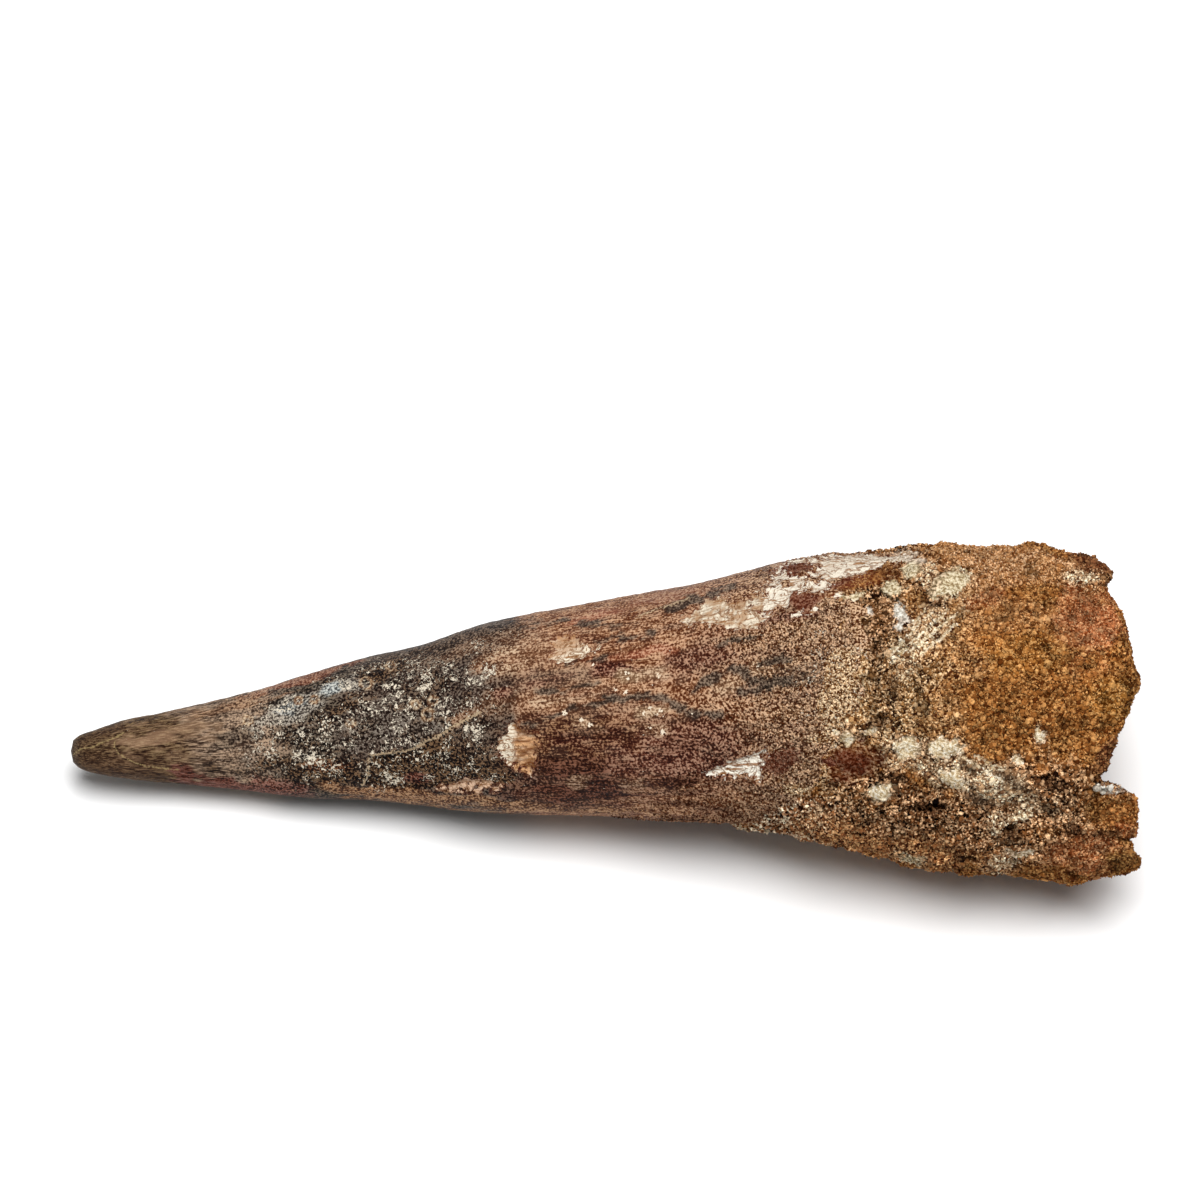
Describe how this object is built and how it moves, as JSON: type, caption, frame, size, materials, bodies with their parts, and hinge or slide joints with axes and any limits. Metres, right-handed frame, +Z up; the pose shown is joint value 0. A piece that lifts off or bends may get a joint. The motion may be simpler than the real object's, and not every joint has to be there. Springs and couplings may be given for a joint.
{
  "type": "spinosaurus tooth",
  "caption": "Large fossil tooth lying on its side: a blunt-tipped cone with chipped skin, its root held in a rough block of coarse sandstone with a notched, broken end.",
  "frame": {"origin": "on the resting plane, under the middle of the whole object's box", "axes": "+Z up; X along the tooth, tip at -X and sandstone at +X; the display face looks up and towards -Y"},
  "size_m": [0.1295, 0.041, 0.0375],
  "materials": {
    "fossil_dentine": "satin, mineral-stained brown with dark and cream patches",
    "sandstone": "rough, grainy ochre"
  },
  "bodies": {
    "root": {"tooth": "fossil_dentine", "sandstone_matrix": "sandstone"}
  },
  "joints": []
}
